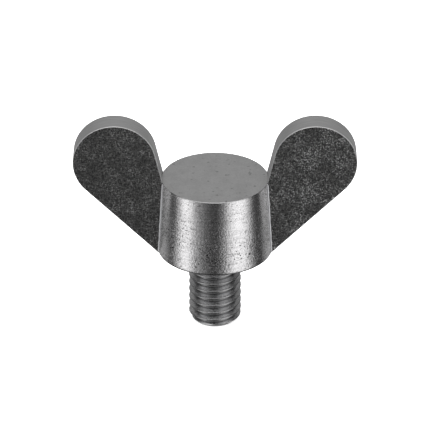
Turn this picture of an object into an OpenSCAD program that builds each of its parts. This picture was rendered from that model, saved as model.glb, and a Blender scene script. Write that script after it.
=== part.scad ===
// Wing screw: a tapered steel hub, two flat welded wings and a threaded stud.
//
// The origin is the centre of the hub's underside, on the thread axis. +Z runs
// up through the hub, and +X runs out through the right-hand wing. Units are
// millimetres.
//
// How it goes together: the stud's spigot is pressed into the hub's blind bore
// until its collar seats flush in a recess in the underside. Each wing is a flat
// plate whose tongue plugs into a slot in the hub's side. Its root is coped to
// the hub's taper, and a fillet weld runs down each face of the root.

/* [Hub] */
// Diameter of the hub's flat top
hub_top_d = 16.1; // [13:0.1:20]
// Diameter of the hub's underside
hub_base_d = 17.5; // [14:0.1:22]
// Height of the hub
hub_h = 12.05; // [9.8:0.05:16]
// Chamfer that breaks both rims of the hub
hub_edge = 0.15; // [0.05:0.05:0.5]

/* [Wings] */
// Thickness of a wing plate
wing_t = 3.8; // [2.5:0.1:5]
// Distance over both wing tips
wing_span = 42.5; // [35:0.1:60]
// Height of the wing tips above the hub's underside
wing_rise = 21.55; // [17.5:0.05:30]
// Radius of a wing's rounded end
lobe_r = 6.25; // [4.5:0.05:7.5]
// Solid hub left above and below a wing's tongue
tongue_margin = 2.5; // [1.5:0.1:4]
// How deep the tongue reaches in from the hub's top rim
tongue_depth = 2; // [1:0.1:3]
// Clearance around the tongue in its slot
slot_clearance = 0.05; // [0.02:0.01:0.1]

/* [Stud] */
// Nominal diameter of the thread and the plain shank
thread_d = 8; // [6:0.1:10]
// Pitch of the thread
thread_pitch = 1.25; // [1:0.05:1.5]
// How far the stud stands out below the hub
stud_l = 12.15; // [10:0.05:40]
// Length of the plain shank under the hub
shank_l = 1.5; // [1:0.1:3]
// Chamfer at the stud's free end
stud_chamfer = 0.8; // [0.65:0.05:1.2]
// How far the stud's collar stands out all round, in its recess in the hub
collar_w = 0.7; // [0.3:0.1:1.5]
// Thickness of the collar
collar_h = 0.8; // [0.4:0.1:2]
// Diameter of the spigot that is pressed into the hub
spigot_d = 6.4; // [4:0.1:7.5]
// Solid hub left above the blind bore
bore_cap = 2.4; // [2:0.1:4]

/* [Welds] */
// Leg of the fillet weld on each face of a wing's root
weld_leg = 0.25; // [0.1:0.05:0.6]

/* [Hidden] */
$fn = 240;

// Hub
hub_top_r = hub_top_d / 2;
hub_base_r = hub_base_d / 2;
spigot_r = spigot_d / 2;
collar_r = thread_d / 2 + collar_w;
drill_tip = spigot_r / tan(118 / 2);        // height of the cone a 118 degree drill leaves
spigot_l = hub_h - bore_cap - drill_tip;

// Wings
slot_floor = hub_top_r - tongue_depth;      // distance of the tongue's end from the axis
lobe = [wing_span / 2 - lobe_r, wing_rise - lobe_r];
root_low = [root_x(hub_base_r), 0];         // where the outline meets the hub's two rims
root_high = [root_x(hub_top_r), hub_h];
root_depth = 1.5;                           // how far a plate's blank runs on inside the hub
lean = atan2(root_low.x - root_high.x, hub_h);

// Metric 60 degree thread, just under its nominal size like a 6g bolt
crest_r = thread_d / 2 - 0.02;
root_r = thread_d / 2 - 0.6134 * thread_pitch;
crest_w = thread_pitch / 8;
flank_w = (crest_r - root_r) * tan(30);
runout = 1.1 * (thread_d / 2 - root_r);     // a 45 degree cone that starts below the roots
segments = 36;                              // straight steps in one turn of the thread
start_angle = -90;                          // a crest faces this way
start_z = -3.08;                            // at this height

// Distance from the axis, along X, at which a wing's face meets a circle of the hub
function root_x(r) = sqrt(pow(r, 2) - pow(wing_t / 2, 2));

// Point where a line from p touches the rounded end; side picks one of the two.
// Where the rounded end is large enough to cover p, it is the end's nearest point.
function touch(p, side) = let (
        v = p - lobe,
        a = atan2(v.y, v.x) + side * acos(min(1, lobe_r / norm(v)))
    ) lobe + lobe_r * [cos(a), sin(a)];

// Point on the same line, a little way inside the hub
function inside(p, side) = let (
        from = norm(p - lobe) > lobe_r ? touch(p, side) : lobe,
        v = p - from
    ) p + root_depth * v / norm(v);

// The hub's taper, running on past both ends
module cone() {
    spare = root_depth + lobe_r;
    slope = (hub_base_r - hub_top_r) / hub_h;
    translate([0, 0, -spare]) cylinder(
        r1 = hub_base_r + slope * spare, r2 = hub_top_r - slope * spare, h = hub_h + 2 * spare);
}

module hub() color("#8d8d8d") {
    taper = (hub_base_r - hub_top_r) / hub_h;
    difference() {
        rotate_extrude() polygon([
            [0, 0],
            [hub_base_r - hub_edge, 0],
            [hub_base_r - taper * hub_edge, hub_edge],
            [hub_top_r + taper * hub_edge, hub_h - hub_edge],
            [hub_top_r - hub_edge, hub_h],
            [0, hub_h]
        ]);
        cylinder(r = collar_r, h = collar_h);
        cylinder(r = spigot_r, h = spigot_l);
        translate([0, 0, spigot_l]) cylinder(r1 = spigot_r, r2 = 0, h = drill_tip);
        for (turn = [0, 180]) rotate(turn) tongue(slot_clearance);
    }
}

// The tongue of the right-hand wing, or with a gap its slot
module tongue(gap = 0) {
    translate([slot_floor - gap, -wing_t / 2 - gap, tongue_margin - gap])
        cube([
            root_low.x + weld_leg - slot_floor + gap,
            wing_t + 2 * gap,
            hub_h - 2 * tongue_margin + 2 * gap
        ]);
}

module wing() color("#5a5a5a") {
    difference() {
        translate([0, wing_t / 2, 0]) rotate([90, 0, 0]) linear_extrude(wing_t) {
            polygon([
                inside(root_low, 1), touch(root_low, 1), lobe,
                touch(root_high, -1), inside(root_high, -1)
            ]);
            translate(lobe) circle(r = lobe_r);
        }
        cone();
    }
    tongue();
}

module wing_right() wing();
module wing_left() rotate(180) wing();

module threaded_stud() color("#7a7a7a") {
    cylinder(r = spigot_r, h = spigot_l);
    cylinder(r = collar_r, h = collar_h);
    translate([0, 0, -shank_l]) cylinder(d = thread_d, h = shank_l);
    // The thread's grooves run out into this cone
    translate([0, 0, -shank_l - runout])
        cylinder(r1 = thread_d / 2 - runout, r2 = thread_d / 2, h = runout);
    intersection() {
        helix();
        rotate_extrude() polygon([
            [0, -stud_l],
            [thread_d / 2 - stud_chamfer, -stud_l],
            [thread_d / 2, stud_chamfer - stud_l],
            [thread_d / 2, -shank_l / 2],
            [0, -shank_l / 2]
        ]);
    }
}

// Right-hand thread as one closed surface, longer than the stud at both ends.
// Each row of points climbs by one pitch in a turn and joins the row that lies
// one turn further on.
module helix() {
    profile = [
        [crest_r, -crest_w / 2], [crest_r, crest_w / 2],
        [root_r, crest_w / 2 + flank_w], [root_r, thread_pitch - crest_w / 2 - flank_w]
    ];
    parts = len(profile);
    low = floor((-stud_l - start_z) / thread_pitch) - 2;
    high = ceil(-start_z / thread_pitch) + 1;
    rows = (high - low) * parts;
    function point(row, step) = let (
            p = profile[row % parts],
            a = start_angle + 360 * step / segments,
            turn = low + floor(row / parts) + step / segments
        ) [p.x * cos(a), p.x * sin(a), start_z + turn * thread_pitch + p.y];
    function at(row, step) = step < segments ? row * segments + step : at(row + parts, 0);
    points = [
        for (row = [0:rows - 1], step = [0:segments - 1]) point(row, step),
        [0, 0, start_z + low * thread_pitch],
        [0, 0, start_z + high * thread_pitch]
    ];
    foot = rows * segments;
    head = foot + 1;
    top = rows - parts - 1;
    faces = [
        for (row = [0:top], step = [0:segments - 1])
            [at(row, step), at(row + 1, step), at(row + 1, step + 1), at(row, step + 1)],
        for (step = [0:segments - 1]) [foot, at(0, step), at(0, step + 1)],
        for (row = [0:parts - 1]) [foot, at(row + 1, 0), at(row, 0)],
        for (step = [0:segments - 1]) [head, at(top + 1, step + 1), at(top + 1, step)],
        for (row = [top + 1:rows - 1]) [head, at(row, 0), at(row + 1, 0)]
    ];
    polyhedron(points, faces);
}

// Fillet along the front of the right-hand wing's root
module weld() color("#9a9a9a") {
    difference() {
        intersection() {
            translate([root_low.x, -wing_t / 2, 0]) rotate([0, -lean, 0])
                translate([0, 0, -hub_edge]) linear_extrude(hub_h + 2 * hub_edge)
                    polygon([[weld_leg, 0], [-weld_leg, 0], [-weld_leg, -1.6 * weld_leg]]);
            translate([0, -hub_base_r, hub_edge])
                cube([hub_base_d, hub_base_r, hub_h - 2 * hub_edge]);
        }
        cone();
    }
}

module weld_right_front() weld();
module weld_right_back() mirror([0, 1, 0]) weld();
module weld_left_front() mirror([1, 0, 0]) weld();
module weld_left_back() rotate(180) weld();

hub();
wing_left();
wing_right();
threaded_stud();
weld_left_front();
weld_left_back();
weld_right_front();
weld_right_back();
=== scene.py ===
"""Wing screw in bare stainless steel: its six kinds of surface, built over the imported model.

A tapered turned hub carries two flat blanked wings, held by narrow fillet welds, and a
rolled thread hangs below it. Everything is in metres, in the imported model's frame: +Z up
the thread's axis from the hub's underside, +X out through the right-hand wing.
"""
import math
from functools import partial

import bpy
import numpy as np
from bpy.props import FloatProperty, FloatVectorProperty, PointerProperty
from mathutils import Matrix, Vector


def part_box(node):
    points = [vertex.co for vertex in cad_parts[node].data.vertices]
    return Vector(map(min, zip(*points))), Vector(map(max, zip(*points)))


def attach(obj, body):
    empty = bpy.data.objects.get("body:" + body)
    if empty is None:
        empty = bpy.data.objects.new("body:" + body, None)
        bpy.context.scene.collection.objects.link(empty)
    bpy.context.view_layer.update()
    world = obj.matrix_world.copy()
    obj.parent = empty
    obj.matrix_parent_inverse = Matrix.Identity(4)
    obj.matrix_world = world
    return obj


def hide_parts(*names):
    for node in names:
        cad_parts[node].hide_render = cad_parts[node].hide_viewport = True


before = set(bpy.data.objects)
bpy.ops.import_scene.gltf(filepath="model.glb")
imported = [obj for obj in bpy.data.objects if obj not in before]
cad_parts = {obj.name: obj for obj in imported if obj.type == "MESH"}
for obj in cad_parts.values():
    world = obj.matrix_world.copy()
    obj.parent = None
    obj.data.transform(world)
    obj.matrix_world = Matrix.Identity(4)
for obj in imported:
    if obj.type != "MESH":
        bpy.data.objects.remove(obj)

bl_info = {
    "name": "Wing screw",
    "version": (1, 0, 0),
    "blender": (4, 5, 0),
    "location": "3D View > Sidebar > Wing screw",
    "description": "Builds a stainless steel wing screw and its studio",
    "category": "Add Mesh",
}

MM = 0.001
MERGE = 0.00001 * MM  # points nearer than this are one
SINK = 0.01 * MM  # how far a wing's root stands inside the hub's skin
GAP = 0.02 * MM  # clearance of the stud in the hub, and of the thread under its nominal size
_, HUB_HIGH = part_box("hub")
WING_LOW, WING_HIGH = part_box("wing_right")
STUD_LOW, STUD_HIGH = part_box("threaded_stud")
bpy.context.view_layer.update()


def length(name, description, default, **more):
    """A size in metres, with the name and description that the panel shows."""
    return FloatProperty(name=name, description=description, default=default,
                         unit="LENGTH", subtype="DISTANCE", precision=5, **more)


def colour(name, description, code):
    """A colour that a user can change, given as an sRGB hex code."""
    return FloatVectorProperty(name=name, description=description, default=linear(code),
                               size=3, min=0, max=1, subtype="COLOR")


def linear(code):
    """sRGB hex to linear: below 0.04045 a twelfth and a bit, above it a 2.4 power."""
    parts = [int(code[i:i + 2], 16) / 255 for i in (1, 3, 5)]
    return tuple(c / 12.92 if c <= 0.04045 else ((c + 0.055) / 1.055) ** 2.4 for c in parts)


class WingScrewSizes(bpy.types.PropertyGroup):
    hub_base_r: length("Hub underside radius", "Radius of the hub where it seats", HUB_HIGH.x)
    hub_top_r: length("Hub top radius", "Radius of the hub's flat top", 8.05 * MM)
    hub_h: length("Hub height", "From the underside to the flat top", HUB_HIGH.z)
    top_edge: length("Top edge", "Radius that breaks the rim of the hub's top", 0.12 * MM)
    foot_edge: length("Foot edge", "Radius that breaks the rim of the hub's foot", 0.2 * MM)
    wing_t: length("Wing thickness", "Thickness of a wing plate", WING_HIGH.y - WING_LOW.y)
    wing_reach: length("Wing reach", "From the axis to a wing's tip", WING_HIGH.x)
    wing_rise: length("Wing rise", "From the hub's underside to a wing's top", WING_HIGH.z)
    lobe_r: length("Wing end radius", "Radius of a wing's rounded end", 6.25 * MM)
    wing_edge: length("Wing edge", "Radius left by tumbling on a wing's edges", 0.12 * MM)
    tongue_margin: length("Tongue margin", "Hub left above and below a tongue", 2.5 * MM)
    weld_leg: length("Weld leg", "Leg of the fillet weld at a wing's root", 0.21 * MM)
    thread_r: length("Thread radius", "Nominal radius of the thread and shank", 4 * MM)
    pitch: length("Thread pitch", "Rise of the thread in one turn", 1.25 * MM)
    shank_l: length("Shank length", "Plain length under the hub", 1.5 * MM)
    end_chamfer: length("End chamfer", "Chamfer at the stud's free end", 0.8 * MM)
    collar_r: length("Collar radius", "Radius of the stud's collar", 4.7 * MM)
    collar_h: length("Collar height", "Thickness of the stud's collar", 0.8 * MM)
    spigot_r: length("Spigot radius", "Radius of the stud inside the hub", 3.2 * MM)
    spigot_h: length("Spigot height", "How far the stud reaches into the hub", STUD_HIGH.z)


class WingScrewColours(bpy.types.PropertyGroup):
    turned: colour("Turned side", "Stainless steel of the hub's turned side", "#d4d3d4")
    faced: colour("Faced top", "Stainless steel of the hub's flat top", "#c7c7c7")
    blanked: colour("Wing face", "Stainless steel of the wings' flat faces", "#e4e4e4")
    cut: colour("Wing rim", "Stainless steel of the wings' cut rims", "#c7c7c7")
    rolled: colour("Thread", "Stainless steel of the rolled thread", "#c1c1c2")
    bead: colour("Weld", "Stainless steel of the narrow weld", "#bdbdbf")
    floor: colour("Floor", "Plain pale floor", "#f4f4f4")


# ---------------------------------------------------------------- meshes

def grid_faces(rows, columns, joined=None):
    """Quads over a grid that closes on itself across its columns, row by row.

    The last column joins the first in the same row, or in the row that joined names.
    """
    joined = np.arange(rows) if joined is None else joined
    r, c = np.meshgrid(np.arange(rows - 1), np.arange(columns), indexing="ij")
    last = c == columns - 1
    near = np.where(last, joined[r] * columns, r * columns + c + 1)
    far = np.where(last, joined[r + 1] * columns, (r + 1) * columns + c + 1)
    return np.stack([r * columns + c, near, far, (r + 1) * columns + c], -1).reshape(-1, 4)


def whole_faces(faces, marks):
    """Drops repeated corners: what is left of a quad stays if it has 3 or 4 of its own."""
    again = faces == np.roll(faces, 1, axis=1)
    quad = ~again.any(1) & (faces[:, 0] != faces[:, 2]) & (faces[:, 1] != faces[:, 3])
    three = again.sum(1) == 1
    kept = np.argsort(again[three], axis=1, kind="stable")[:, :3]
    corners = np.take_along_axis(faces[three], kept, 1)
    return faces[quad].tolist() + corners.tolist(), np.concatenate([marks[quad], marks[three]])


def make_piece(name, parts, materials, node):
    """One mesh object from (points, faces, material index) parts, merged and closed.

    Points that fall together, such as a pole's, are merged, and the faces that this
    flattens to nothing are dropped, so every part ends as a closed shell.
    """
    points, faces, marks, base = [], [], [], 0
    for place, quads, mark in parts:
        place, quads = np.asarray(place, float).reshape(-1, 3), np.asarray(quads, int)
        _, first, back = np.unique(np.round(place / MERGE).astype(np.int64), axis=0,
                                   return_index=True, return_inverse=True)
        whole, kinds = whole_faces(back.reshape(-1)[quads] + base,
                                   np.broadcast_to(mark, len(quads)))
        points.append(place[first])
        faces += whole
        marks.append(kinds)
        base += len(first)
    mesh = bpy.data.meshes.new(name)
    mesh.from_pydata(np.concatenate(points).tolist(), [], faces)
    mesh.polygons.foreach_set("material_index", np.concatenate(marks))
    mesh.polygons.foreach_set("use_smooth", [True] * len(faces))
    mesh.update()
    for material in materials:
        mesh.materials.append(material)
    piece = bpy.data.objects.new(name, mesh)
    bpy.context.scene.collection.objects.link(piece)
    mesh.set_sharp_from_angle(angle=math.radians(28))
    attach(piece, "root")
    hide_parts(node)
    return piece


def lathe(profile, segments=256):
    """Points (r cos a, r sin a, z) for each (r, z) of a profile and each angle a."""
    profile = np.asarray(profile, float)
    a = np.linspace(0, 2 * np.pi, segments, endpoint=False)
    r, z = profile[:, :1], profile[:, 1:]
    return np.stack([r * np.cos(a), r * np.sin(a), z + 0 * a], -1)


def arc(centre, radius, start, end, count):
    """Points on a circle: its centre plus radius times (cos a, sin a), a in degrees."""
    a = np.radians(np.linspace(start, end, count))
    return np.stack([centre[0] + radius * np.cos(a), centre[1] + radius * np.sin(a)], -1)


def run(start, end, count):
    """Evenly spaced points from start to end, without the end."""
    k = np.linspace(0, 1, count, endpoint=False)[:, None]
    return np.asarray(start) * (1 - k) + np.asarray(end) * k


def build_hub(s, side, top):
    """The hub as one lathe profile: bore, recess, underside, tapered side and flat top.

    The side leans by the angle whose tangent is the radii's difference over the height,
    and each rim's arc ends at that lean.
    """
    lean = math.degrees(math.atan2(s.hub_base_r - s.hub_top_r, s.hub_h))
    foot, e = s.foot_edge, s.top_edge
    low = (s.hub_base_r - foot, foot)
    high = (s.hub_top_r - e, s.hub_h - e)
    drill_tip = 0.6  # a 118 degree drill's point stands 0.6 of its radius high
    bore, recess, lead_in = s.spigot_r + GAP, s.collar_r + GAP, 0.08 * MM
    profile = np.concatenate([
        [(0, s.spigot_h + s.spigot_r * drill_tip)],
        run((bore, s.spigot_h), (bore, s.collar_h), 4),
        [(bore, s.collar_h), (recess, s.collar_h), (recess, lead_in)],
        arc((recess + lead_in, lead_in), lead_in, 180, 270, 5),
        run((s.collar_r + 0.3 * MM, 0), (low[0], 0), 8),
        arc(low, foot, 270, 360 + lean, 9),
        run((s.hub_base_r, foot * 1.05), (s.hub_top_r, s.hub_h - e * 1.05), 48)[1:],
        arc(high, e, lean, 90, 9),
        run((s.hub_top_r - 1.2 * e, s.hub_h), (0, s.hub_h), 24),
        [(0, s.hub_h)],
    ])
    points = lathe(profile)
    faces = grid_faces(len(profile), points.shape[1])
    on_top = profile[:-1, 1] > s.hub_h - e * 0.3
    marks = np.repeat(on_top.astype(int), points.shape[1])
    return make_piece("turned_hub", [(points, faces, marks)], [side, top],
                      "hub")


def tangent_point(p, centre, radius, side):
    """Where a line from p touches a circle: the bearing to p, turned by acos(r / d)."""
    v = np.subtract(p, centre)
    a = math.atan2(v[1], v[0]) + side * math.acos(min(1, radius / np.hypot(*v)))
    return np.array([centre[0] + radius * math.cos(a), centre[1] + radius * math.sin(a)])


def meets_hub(p, q, y, s):
    """Where the line from p to q, at depth y, reaches the hub's taper.

    The taper's radius changes so little that six rounds of x = sqrt(r(z)^2 - y^2), each
    with z taken back from the line, settle it.
    """
    slope = (q[1] - p[1]) / (q[0] - p[0])
    x = np.full_like(y, q[0])
    for _ in range(6):
        z = p[1] + slope * (x - p[0])
        r = s.hub_base_r + (s.hub_top_r - s.hub_base_r) * z / s.hub_h
        x = np.sqrt(r ** 2 - y ** 2) - SINK
    return np.stack([x, p[1] + slope * (x - p[0])], -1)


EDGE_STEPS = 24  # points along each straight edge of a wing, and along its root


def wing_outline(y, s):
    """A wing's closed outline at each depth y, as an array (outline, depth, x and z).

    Counter-clockwise: along the lower tangent, round the end, down the upper tangent,
    then back down the root, which follows the hub's taper at that depth.
    """
    half = s.wing_t / 2
    centre = (s.wing_reach - s.lobe_r, s.wing_rise - s.lobe_r)
    low = (math.sqrt(s.hub_base_r ** 2 - half ** 2), 0.0)
    high = (math.sqrt(s.hub_top_r ** 2 - half ** 2), s.hub_h)
    t_low, t_high = (tangent_point(p, centre, s.lobe_r, d) for p, d in ((low, 1), (high, -1)))
    root_low, root_high = meets_hub(t_low, low, y, s), meets_hub(t_high, high, y, s)
    k = np.linspace(0, 1, EDGE_STEPS, endpoint=False)[:, None, None]
    a0, a1 = (math.atan2(t[1] - centre[1], t[0] - centre[0]) for t in (t_low, t_high))
    bow = np.linspace(a0, a1 % (2 * math.pi), 121)[:-1]
    end = np.stack([centre[0] + s.lobe_r * np.cos(bow), centre[1] + s.lobe_r * np.sin(bow)], -1)
    lower = root_low * (1 - k) + t_low * k
    round_end = np.broadcast_to(end[:, None], (len(bow), len(y), 2))
    upper = t_high * (1 - k) + root_high * k
    z = root_high[:, 1] * (1 - k[..., 0]) + root_low[:, 1] * k[..., 0]
    r = s.hub_base_r + (s.hub_top_r - s.hub_base_r) * z / s.hub_h
    root = np.stack([np.sqrt(r ** 2 - y ** 2) - SINK, z], -1)
    return np.concatenate([lower, round_end, upper, root])


def build_wing(side, s, face, rim):
    """One wing: outline by depth, drawn in at the faces by a small quarter circle.

    Across the thickness the depth runs from the front face to the back. At angle a of
    an edge's quarter circle of radius e, the outline is drawn in by e (1 - sin a) along
    its own normal and the depth is half the thickness less e (1 - cos a). Each face
    closes by shrinking the outline on to its middle.
    """
    e, half = s.wing_edge, s.wing_t / 2
    q = np.radians(np.linspace(0, 90, 7))
    rounded = half - e * (1 - np.cos(q))
    middle = np.linspace(half - e, e - half, 9)[1:-1]
    depth = np.concatenate([rounded, middle, -rounded[::-1]])
    drawn = np.concatenate([e * (1 - np.sin(q)), 0 * middle, e * (1 - np.sin(q[::-1]))])
    line = wing_outline(depth, s)
    t = np.roll(line, -1, 0) - np.roll(line, 1, 0)
    t /= np.maximum(np.linalg.norm(t, axis=-1, keepdims=True), 1e-12)
    normal = np.stack([t[..., 1], -t[..., 0]], -1)
    free = (np.arange(len(line)) < len(line) - EDGE_STEPS)[:, None, None]
    line = line - normal * drawn[None, :, None] * free
    body = np.stack([line[..., 0], np.broadcast_to(-depth, line.shape[:2]), line[..., 1]], -1)
    body = body.transpose(1, 0, 2)
    k = np.array([0, 0.2, 0.45, 0.7, 0.88, 0.97])[:, None, None]
    front, back = (edge.mean(0) + (edge - edge.mean(0)) * k for edge in (body[0], body[-1]))
    points = np.concatenate([front, body, back[::-1]])
    faces = grid_faces(len(points), points.shape[1])
    row = np.arange(len(points) - 1)
    on_rim = (row > len(k)) & (row < len(points) - len(k) - 2)
    marks = np.repeat(on_rim.astype(int), points.shape[1])
    reach = tongue(s)
    if side < 0:
        points, reach = points * (-1, -1, 1), reach * (-1, -1, 1)
    name = "right" if side > 0 else "left"
    box = [(0, 1, 2, 3), (7, 6, 5, 4), (0, 4, 5, 1), (1, 5, 6, 2), (2, 6, 7, 3), (3, 7, 4, 0)]
    return make_piece(f"wing_plate_{name}", [(points, faces[:, ::-1], marks), (reach, box, 1)],
                      [face, rim], f"wing_{name}")


def tongue(s):
    """The tongue inside the hub: eight corners of a plain block."""
    x0, x1 = s.hub_top_r - 2 * MM, s.hub_base_r + 0.1 * MM
    y, z0, z1 = s.wing_t / 2 - 0.05 * MM, s.tongue_margin, s.hub_h - s.tongue_margin
    low = [(x0, -y, z0), (x0, y, z0), (x1, y, z0), (x1, -y, z0)]
    return np.array(low + [(x, v, z1) for x, v, _ in low])


def build_weld(side, front, s, bead):
    """One fillet weld: a parabola across, carried down the corner of plate and hub.

    With unit directions a along the plate and b along the hub's skin, the face is
    corner + leg (a (1 - v)^2 + b v^2) for v from 0 to 1, which leaves both walls on
    their own line. The leg swells and thins a little along the bead.
    """
    z = np.linspace(s.foot_edge, s.hub_h - s.top_edge, 140)[:, None]
    r = s.hub_base_r + (s.hub_top_r - s.hub_base_r) * z / s.hub_h
    half = s.wing_t / 2
    x = np.sqrt(r ** 2 - half ** 2)
    swell = 1 + 0.09 * np.sin(z / (0.23 * MM)) + 0.07 * np.sin(z / (0.61 * MM) + 1 + side)
    leg = s.weld_leg * swell * np.clip(np.minimum(z, s.hub_h - z) / (0.5 * MM), 0.25, 1)
    v = np.linspace(0, 1, 9)
    across = np.concatenate([(1 - v) ** 2, [-0.25]])
    along = np.concatenate([v ** 2, [-0.1]])
    px = x + leg * (across - along * half / r)
    py = half + leg * along * x / r
    points = np.stack([px, py, np.broadcast_to(z, px.shape)], -1)
    ends = [np.broadcast_to(points[i].mean(0), points[i].shape)[None] for i in (0, -1)]
    points = np.concatenate([ends[0], points, ends[1]])
    points = points * (side, -1 if front else 1, 1)
    faces = grid_faces(len(points), points.shape[1])
    if (side > 0) == front:
        faces = faces[:, ::-1]
    name = f"{'right' if side > 0 else 'left'}_{'front' if front else 'back'}"
    return make_piece(f"weld_bead_{name}", [(points, faces, 0)], [bead],
                      f"weld_{name}")


def soften(x, e):
    """A ramp that is 0 below -e and x above e, with the parabola (x + e)^2 / 4e between."""
    return np.where(np.abs(x) < e, (x + e) ** 2 / (4 * e), np.maximum(x, 0))


def build_stud(s, skin, end):
    """The stud: radius as a function of angle and height, under a plain lathe shape.

    Rows climb by one pitch in a turn, so they follow the crests and the roots. At a
    distance d from the nearest crest the radius is the crest's, less tan(60) times the
    softened ramp of d past half the crest's width, plus the same past the flank's end.
    It is then at least the 45 degree run-out's radius and at most the chamfer's.
    """
    columns, p, crest_z = 180, s.pitch, -3.08 * MM  # a crest's height at the front
    major = s.thread_r - GAP
    depth = 0.6134 * p - GAP  # an external thread's depth is 0.6134 of its pitch
    wide, flank, e = p / 16, depth * math.tan(math.radians(30)), 0.03 * MM
    half = np.concatenate([
        [0], wide + e * np.array([-1, -0.4, 0.4, 1]), wide + flank * np.array([0.3, 0.5, 0.7]),
        wide + flank + e * np.array([-1, -0.4, 0.4, 1]), [p / 2]]) / p
    steps = np.concatenate([half, 1 - half[-2:0:-1]])
    bottom, top = STUD_LOW.z, -s.shank_l
    first = math.floor((bottom - crest_z) / p) - 1
    turns = math.ceil((top - crest_z) / p) - first + 1
    a = np.arange(columns) / columns
    row = (np.arange(turns)[:, None] + steps).reshape(-1, 1)
    z = np.clip(crest_z + p * (first + row + a), bottom, top)
    place = (z - crest_z) / p - a
    far = np.abs(place - np.round(place)) * p
    r = major - math.tan(math.radians(60)) * (soften(far - wide, e) - soften(far - wide - flank, e))
    r = np.maximum(r, s.thread_r - (top - z))
    r = np.minimum(r, s.thread_r - s.end_chamfer + (z - bottom))
    edge = 0.1 * MM
    below = np.array([(0, bottom), (0.3 * s.thread_r, bottom), (0.6 * s.thread_r, bottom)])
    above = np.concatenate([
        run((s.thread_r, top + 0.05 * MM), (s.thread_r, -0.05 * MM), 5),
        [(s.thread_r, -0.05 * MM), (s.thread_r + 0.05 * MM, 0)],
        arc((s.collar_r - edge, edge), edge, 270, 360, 5),
        [(s.collar_r, s.collar_h), (s.spigot_r, s.collar_h),
         (s.spigot_r, s.spigot_h - edge), (s.spigot_r - edge, s.spigot_h), (0, s.spigot_h)],
    ])
    r = np.concatenate([below[:, :1] + 0 * a, r, above[:, :1] + 0 * a])
    z = np.concatenate([below[:, 1:] + 0 * a, z, above[:, 1:] + 0 * a])
    turn = 2 * np.pi * (a - 0.25)
    points = np.stack([r * np.cos(turn), r * np.sin(turn), z], -1)
    joined = np.arange(len(r))
    last = len(below) + len(row) - 1
    joined[len(below):last + 1] = np.minimum(joined[len(below):last + 1] + len(steps), last)
    marks = np.repeat(np.arange(len(r) - 1) < len(below), columns)
    return make_piece("rolled_stud", [(points, grid_faces(len(r), columns, joined), marks)],
                      [skin, end], "threaded_stud")


# ------------------------------------------------------------- materials

def add(tree, kind, *values, **named):
    """Adds a node and gives back its first output.

    Values go to its sockets in order. A named value goes to the setting or socket of that
    name, or for i and a number, to the socket in that place. Another node's output is linked.
    """
    made = tree.nodes.new("ShaderNode" + kind)
    for name, value in [*((f"i{place}", value) for place, value in enumerate(values)),
                        *named.items()]:
        if hasattr(made, name):
            setattr(made, name, value)
            continue
        place = name[1:]
        socket = made.inputs[int(place) if place.isdigit() else name.replace("_", " ")]
        if isinstance(value, bpy.types.NodeSocket):
            tree.links.new(value, socket)
        else:
            socket.default_value = value
    return made.outputs[0]


def feed(shader, name, output):
    """Links a node's output to one of the shader's sockets."""
    shader.id_data.links.new(output, shader.inputs[name])


def steel(name, colour_value, roughness):
    """A bare metal: its material, what adds its nodes, its shader, and place in millimetres."""
    material = bpy.data.materials.new(name)
    material.use_nodes = True
    shader = material.node_tree.nodes["Principled BSDF"]
    shader.inputs["Metallic"].default_value = 1.0
    shader.inputs["Base Color"].default_value = (*colour_value, 1)
    shader.inputs["Roughness"].default_value = roughness
    node = partial(add, material.node_tree)
    place = node("TexCoord").node.outputs["Object"]
    return material, node, shader, node("Mapping", place, Scale=(1 / MM, 1 / MM, 1 / MM))


def mottle(node, place, size_mm, detail=1.5, rough=0.6, stretch=(1, 1, 1), shift=0.0):
    """Soft patches about size_mm across, longer where stretch is above 1."""
    scaled = node("Mapping", place, Location=(shift, shift * 1.7, shift * 0.6),
                  Scale=tuple(1 / (size_mm * k) for k in stretch))
    return node("TexNoise", scaled, Scale=1.0, Detail=detail, Roughness=rough)


def toned(node, shader, colour_value, darkest, tone):
    """Base colour: the plain one where tone is 1, and darkest times it where tone is 0."""
    low = tuple(c * darkest for c in colour_value)
    mixed = node("Mix", tone, i6=(*low, 1), i7=(*colour_value, 1), data_type="RGBA")
    feed(shader, "Base Color", mixed.node.outputs[2])


def unrolled(node, mm, radius_mm):
    """A round piece rolled out flat: distance round it, height, and radius from the axis."""
    x, y, z = node("SeparateXYZ", mm).node.outputs
    turn = node("Math", y, x, operation="ARCTAN2")
    square = node("Math", node("Math", x, x, operation="MULTIPLY"),
                  node("Math", y, y, operation="MULTIPLY"), operation="ADD")
    out = node("Math", square, operation="SQRT")
    flat = node("CombineXYZ", node("Math", turn, radius_mm, operation="MULTIPLY"), z, out)
    return flat, z, out


def rim_painted_shade(node, out, z, corner, reach, tone):
    """Painted shade at a rim: a dark tone within the first reach of its corner, rising to 1 at the
    second.
    """
    off = node("CombineXYZ", node("Math", out, corner[0] / MM, operation="SUBTRACT"),
               node("Math", z, corner[1] / MM, operation="SUBTRACT"))
    away = node("VectorMath", off, operation="LENGTH").node.outputs[1]
    return node("MapRange", away, *reach, tone, 1.0)


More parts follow.
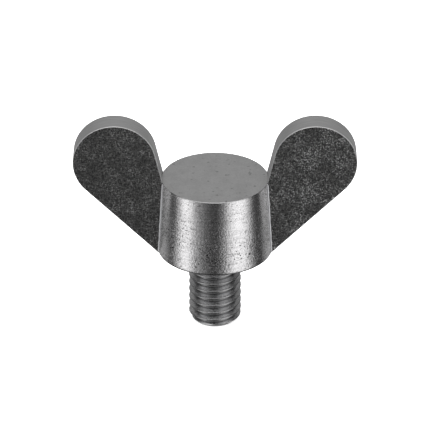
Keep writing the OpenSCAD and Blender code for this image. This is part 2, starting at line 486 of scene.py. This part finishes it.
def turned_side_steel(colours, s):
    """Stainless steel, turned and then tumbled: bright bands with a sandy, pitted edge.

    Fine turning lines run round it, about 0.2 mm apart. Tumbling leaves a grain about
    0.25 mm across, and dark pits about 0.3 mm across. Both crowd towards the foot, so a
    highlight ends in specks and not in a line. Both rims carry painted shade, a dark line,
    the foot's darkest.
    """
    material, node, shader, mm = steel("stainless_turned_tumbled", colours.turned, 0.17)
    flat, z, out = unrolled(node, mm, 8.3)
    grain = mottle(node, flat, 0.26)
    line = mottle(node, flat, 0.18, 1, 0.5, (16, 1, 1), 6.0)
    speck = mottle(node, flat, 0.24, shift=12.0)
    hole = mottle(node, flat, 0.28, 1.5, 0.5, shift=3.0)
    patch = mottle(node, flat, 2.2, 2, 0.5, (1, 1.3, 1), 8.0)
    foot = node("MapRange", z, 11.0, 4.0, 0.5, 1.0)
    where = node("Math", foot, node("MapRange", patch, 0.44, 0.56, 0.15, 1.0),
                 operation="MULTIPLY")
    pit = node("Math", node("MapRange", hole, 0.59, 0.65), where, operation="MULTIPLY")
    dull = node("Math", node("MapRange", speck, 0.5, 0.64), foot, operation="MULTIPLY")
    relief = node("Math", node("Math", grain, foot, operation="MULTIPLY"),
                  node("Math", line, 0.22, operation="MULTIPLY"), operation="ADD")
    feed(shader, "Normal", node("Bump", Height=relief, Distance=0.04 * MM))
    feed(shader, "Roughness", node(
        "Math", 0.15, node("Math", dull, 0.2, operation="MULTIPLY"), operation="ADD"))
    tone = node("Math", node("MapRange", grain, 0.32, 0.6, 0.78, 1.0),
                node("MapRange", line, 0.3, 0.6, 0.76, 1.0), operation="MULTIPLY")
    tone = node("Math", tone, node("Math", 1.0, pit, operation="SUBTRACT"),
                operation="MULTIPLY")
    # Painted shade: a near-black line along the foot's rim and a dark line along the top rim.
    rim = node("Math", rim_painted_shade(node, out, z, (s.hub_base_r, 0), (0.24, 0.32), 0.05),
               rim_painted_shade(node, out, z, (s.hub_top_r, s.hub_h), (0.09, 0.16), 0.6),
               operation="MULTIPLY")
    toned(node, shader, colours.turned, 0.1, node("Math", tone, rim, operation="MULTIPLY"))
    return material


def faced_top_steel(colours):
    """Stainless steel, faced flat and tumbled: an even matte grey with a few faint marks."""
    material, node, shader, mm = steel("stainless_faced_matte", colours.faced, 0.5)
    grain = mottle(node, mm, 0.3, 2)
    cloud = mottle(node, mm, 1.6, 2, shift=3.0)
    mark = mottle(node, mm, 0.7, 1, 0.5, shift=5.0)
    feed(shader, "Normal", node("Bump", Height=grain, Distance=0.004 * MM))
    tone = node("Math", node("MapRange", grain, 0.25, 0.6, 0.7, 1.0),
                node("MapRange", cloud, 0.3, 0.6, 0.75, 1.0), operation="MULTIPLY")
    toned(node, shader, colours.faced, 0.62, node(
        "Math", node("MapRange", mark, 0.25, 0.33), tone, operation="MULTIPLY"))
    return material


def blanked_face_steel(colours):
    """Stainless plate as blanked, with its dull rolled skin rubbed: dark and scratched.

    Rubs about 0.2 mm wide and up to 1 mm long run along the plate in some places and
    across it in others. Between them stand bright flecks where the skin was knocked,
    more of them on the right-hand plate.
    """
    material, node, shader, mm = steel("stainless_blanked_rubbed", colours.blanked, 0.3)
    across = mottle(node, mm, 0.22, stretch=(4, 1, 1), shift=1.0)
    down = mottle(node, mm, 0.22, stretch=(1, 1, 4), shift=4.0)
    grit = mottle(node, mm, 0.21, shift=9.0)
    cloud = mottle(node, mm, 2.0, 2, shift=2.0)
    wear = mottle(node, mm, 1.1, 2, shift=14.0)
    lie = node("MapRange", wear, 0.42, 0.58)
    along = node("Math", node("MapRange", across, 0.5, 0.7), lie, operation="MULTIPLY")
    up = node("Math", node("MapRange", down, 0.5, 0.7),
              node("Math", 1.0, lie, operation="SUBTRACT"), operation="MULTIPLY")
    rubs = node("Math", node("Math", along, up, operation="ADD"), 0.5, operation="MULTIPLY")
    side = node("MapRange", node("SeparateXYZ", mm), -8.0, 8.0, 0.85, 1.4)
    haze = node("Math", node("MapRange", cloud, 0.36, 0.62, 0.3, 1.0), side,
                operation="MULTIPLY")
    knock = node("Math", node("MapRange", grit, 0.58, 0.7), haze, operation="MULTIPLY")
    tone = node("Math", rubs, knock, operation="ADD")
    tone = node("Math", tone, node("MapRange", grit, 0.32, 0.56, 0.0, 0.3), operation="ADD")
    tone = node("Math", tone, node("MapRange", wear, 0.3, 0.6, 0.75, 1.0),
                operation="MULTIPLY")
    tone = node("Math", tone, node("MapRange", cloud, 0.36, 0.62, 0.86, 1.12),
                operation="MULTIPLY")
    toned(node, shader, colours.blanked, 0.12, tone)
    feed(shader, "Normal", node("Bump", Height=tone, Distance=0.008 * MM))
    return material


def cut_rim_steel(colours):
    """Stainless plate's cut rim, dressed along its length: light grey with faint long lines."""
    material, node, shader, mm = steel("stainless_cut_rim", colours.cut, 0.45)
    grain = mottle(node, mm, 0.22, 2)
    drag = mottle(node, mm, 0.25, 2, 0.5, (10, 1, 10), 6.0)
    relief = node("Math", grain, drag, operation="ADD")
    feed(shader, "Normal", node("Bump", Height=relief, Distance=0.004 * MM))
    toned(node, shader, colours.cut, 0.86, node(
        "Math", node("MapRange", drag, 0.3, 0.6), node("MapRange", grain, 0.25, 0.5, 0.6, 1.0),
        operation="MULTIPLY"))
    return material


def rolled_thread_steel(colours):
    """Stainless steel thread, rolled: bright flanks, with painted shade on the crests and darker
    painted shade in the roots.
    """
    material, node, shader, mm = steel("stainless_rolled_thread", colours.rolled, 0.28)
    flat, _, out = unrolled(node, mm, 4.0)
    grain = mottle(node, flat, 0.2, 4, stretch=(3, 1, 1))
    stain = mottle(node, flat, 1.2, 2, stretch=(2, 1, 1), shift=7.0)
    feed(shader, "Normal", node("Bump", Height=grain, Distance=0.014 * MM))
    # Painted shade: the roots are darkened to 0.15 of the tone and the crest flats to half of it.
    painted_thread_shade = node("Math", node("MapRange", out, 3.25, 3.55, 0.15, 1.0),
                node("MapRange", out, 3.86, 3.96, 1.0, 0.5), operation="MULTIPLY")
    dirt = node("Math", node("MapRange", stain, 0.3, 0.6, 0.75, 1.0),
                node("MapRange", grain, 0.35, 0.6, 0.6, 1.1), operation="MULTIPLY")
    toned(node, shader, colours.rolled, 0.25, node("Math", painted_thread_shade, dirt, operation="MULTIPLY"))
    feed(shader, "Roughness", node("MapRange", grain, 0.3, 0.7, 0.22, 0.38))
    return material


def weld_bead_steel(colours):
    """Stainless weld bead, drawn in one narrow pass: bright, with fine cross ripples."""
    material, node, shader, mm = steel("stainless_weld_bead", colours.bead, 0.35)
    ripple = mottle(node, mm, 0.15, 2, 0.5, (2, 2, 1))
    feed(shader, "Normal", node("Bump", Height=ripple, Distance=0.01 * MM))
    return material


def floor_paint(colours):
    """Matt white paint, faintly lit from within so that it stays an even white."""
    material = bpy.data.materials.new("floor_matt_white")
    material.use_nodes = True
    shader = material.node_tree.nodes["Principled BSDF"]
    shader.inputs["Base Color"].default_value = (*colours.floor, 1)
    shader.inputs["Roughness"].default_value = 0.9
    shader.inputs["Emission Color"].default_value = (1, 1, 1, 1)
    shader.inputs["Emission Strength"].default_value = 0.6
    return material


# ----------------------------------------------------------------- stage

def ring(tree, bearing, stops):
    """Brightness round the studio: a smooth run through (bearing in degrees, level) stops."""
    brightest = max(level for _, level in stops)
    band = add(tree, "ValToRGB", add(tree, "MapRange", bearing, -math.pi, math.pi))
    ramp = band.node.color_ramp
    while len(ramp.elements) < len(stops):
        ramp.elements.new(1.0)
    for element, (degrees, level) in zip(ramp.elements, stops):
        element.position = (degrees + 180) / 360
        element.color = (*[level / brightest] * 3, 1)
    return add(tree, "Math", band, brightest, operation="MULTIPLY")


def build_world():
    """The studio as a world: soft boxes and dark cards stood round the object.

    Bearing is measured from the camera's side, towards +X. The lower ring, which the
    upright surfaces mirror, has a dark card in front, a soft box to each side of it, then
    dark cards again and grey walls. The upper ring has a wide soft box in front, dark
    cards to the sides and a plain wall behind, and over it hangs a ceiling.
    """
    world = bpy.data.worlds.new("studio")
    bpy.context.scene.world = world
    world.use_nodes = True
    tree = world.node_tree
    node = partial(add, tree)
    x, y, z = node("SeparateXYZ", node("TexCoord")).node.outputs
    bearing = node("Math", x, node("Math", y, -1.0, operation="MULTIPLY"), operation="ARCTAN2")
    low = ring(tree, bearing, [
        (-180, .26), (-150, .30), (-124, .54), (-114, .32), (-104, .12), (-90, .12),
        (-78, .80), (-66, 1.6), (-54, 1.5), (-42, .56), (-22, .19), (-5, .07), (7, .07),
        (20, .34), (32, 1.2), (46, 1.6), (62, 1.5), (74, .68), (84, .14), (94, .06),
        (108, .08), (120, .44), (132, .52), (150, .32), (180, .26)])
    high = ring(tree, bearing, [
        (-180, .42), (-152, .42), (-130, .30), (-110, .10), (-82, .10), (-50, 1.5), (50, 1.5),
        (82, .10), (110, .10), (130, .30), (152, .42), (180, .42)])
    ceiling = node("MapRange", y, 0.0, -0.25, 0.5, 1.9)
    walls = node("Mix", node("MapRange", z, 0.0, 0.25), i2=low, i3=high, data_type="FLOAT")
    level = node("Mix", node("MapRange", z, 0.7, 0.85), i2=walls, i3=ceiling, data_type="FLOAT")
    lit = tree.nodes["Background"]
    lit.inputs["Color"].default_value = (1, 1, 1, 1)
    tree.links.new(level, lit.inputs["Strength"])
    plain = node("Background", (1, 1, 1, 1), 1.0)
    seen = node("LightPath")
    mixed = node("MixShader", seen, lit.outputs[0], plain)
    tree.links.new(mixed, tree.nodes["World Output"].inputs["Surface"])


def build_camera():
    """A long lens 440 mm away, 29.64 degrees above the underside, aimed 5.56 mm over it."""
    data = bpy.data.cameras.new("camera")
    data.sensor_width = 36
    data.lens = 242.3
    data.clip_start, data.clip_end = 0.01, 50
    camera = bpy.data.objects.new("camera", data)
    tilt = math.radians(29.64)
    camera.location = Vector((0, -math.cos(tilt), math.sin(tilt))) * 0.4404
    aim = Vector((0, 0, 0.00556)) - camera.location
    camera.rotation_euler = aim.to_track_quat("-Z", "Y").to_euler()
    bpy.context.scene.collection.objects.link(camera)
    bpy.context.scene.camera = camera


def build_floor(colours):
    """A plain floor just under the stud's end: a flat grid, level in both parameters."""
    count, half = 7, 0.9
    k = np.linspace(-half, half, count)
    x, y = np.meshgrid(k, k, indexing="ij")
    points = np.stack([x, y, np.full_like(x, STUD_LOW.z - GAP)], -1).reshape(-1, 3)
    corner = np.arange(count * count).reshape(count, count)[:-1, :-1].reshape(-1)
    mesh = bpy.data.meshes.new("floor")
    mesh.from_pydata(points.tolist(), [], np.stack(
        [corner, corner + count, corner + count + 1, corner + 1], -1).tolist())
    mesh.materials.append(floor_paint(colours))
    floor = bpy.data.objects.new("floor", mesh)
    bpy.context.scene.collection.objects.link(floor)
    floor.visible_glossy = False


def build_lamp():
    """One large soft lamp overhead that lights the floor evenly to white."""
    data = bpy.data.lights.new("overhead", "AREA")
    data.shape, data.size, data.energy = "DISK", 1.6, 26
    lamp = bpy.data.objects.new("overhead", data)
    lamp.location = (0, 0, 1.2)
    lamp.visible_glossy = False
    bpy.context.scene.collection.objects.link(lamp)


# ------------------------------------------------------------- operators

def settings():
    """The sizes and colours that the panel shows."""
    scene = bpy.context.scene
    return scene.wing_screw_sizes, scene.wing_screw_colours


class MakeHub(bpy.types.Operator):
    """Turns the tapered hub"""
    bl_idname = "wing_screw.make_hub"
    bl_label = "Make hub"

    def execute(self, context):
        sizes, colours = settings()
        build_hub(sizes, turned_side_steel(colours, sizes), faced_top_steel(colours))
        return {"FINISHED"}


class MakeWings(bpy.types.Operator):
    """Blanks both wings"""
    bl_idname = "wing_screw.make_wings"
    bl_label = "Make wings"

    def execute(self, context):
        sizes, colours = settings()
        face, rim = blanked_face_steel(colours), cut_rim_steel(colours)
        for side in (-1, 1):
            build_wing(side, sizes, face, rim)
        return {"FINISHED"}


class MakeWelds(bpy.types.Operator):
    """Runs a fillet weld down each corner of the wings' roots"""
    bl_idname = "wing_screw.make_welds"
    bl_label = "Make welds"

    def execute(self, context):
        sizes, colours = settings()
        bead = weld_bead_steel(colours)
        for side in (-1, 1):
            for front in (True, False):
                build_weld(side, front, sizes, bead)
        return {"FINISHED"}


class MakeStud(bpy.types.Operator):
    """Rolls the stud's thread"""
    bl_idname = "wing_screw.make_stud"
    bl_label = "Make stud"

    def execute(self, context):
        sizes, colours = settings()
        build_stud(sizes, rolled_thread_steel(colours), faced_top_steel(colours))
        return {"FINISHED"}


class MakeStage(bpy.types.Operator):
    """Sets the floor, the studio light and the camera"""
    bl_idname = "wing_screw.make_stage"
    bl_label = "Make stage"

    def execute(self, context):
        _, colours = settings()
        context.scene.view_settings.view_transform = "Standard"
        build_world()
        build_floor(colours)
        build_lamp()
        build_camera()
        return {"FINISHED"}


class WingScrewPanel(bpy.types.Panel):
    bl_idname = "VIEW3D_PT_wing_screw"
    bl_label = "Wing screw"
    bl_space_type = "VIEW_3D"
    bl_region_type = "UI"
    bl_category = "Wing screw"

    def draw(self, context):
        for group in settings():
            box = self.layout.box()
            for key in group.__annotations__:
                box.prop(group, key)
        for step in STEPS:
            self.layout.operator(step.bl_idname)


STEPS = (MakeStage, MakeHub, MakeWings, MakeWelds, MakeStud)
CLASSES = (WingScrewSizes, WingScrewColours, *STEPS, WingScrewPanel)


def register():
    for one in CLASSES:
        bpy.utils.register_class(one)
    bpy.types.Scene.wing_screw_sizes = PointerProperty(type=WingScrewSizes)
    bpy.types.Scene.wing_screw_colours = PointerProperty(type=WingScrewColours)


def unregister():
    del bpy.types.Scene.wing_screw_colours
    del bpy.types.Scene.wing_screw_sizes
    for one in reversed(CLASSES):
        bpy.utils.unregister_class(one)


def main():
    """Registers the add-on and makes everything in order."""
    register()
    for step in STEPS:
        group, name = step.bl_idname.split(".")
        getattr(getattr(bpy.ops, group), name)()


if __name__ == "__main__":
    main()
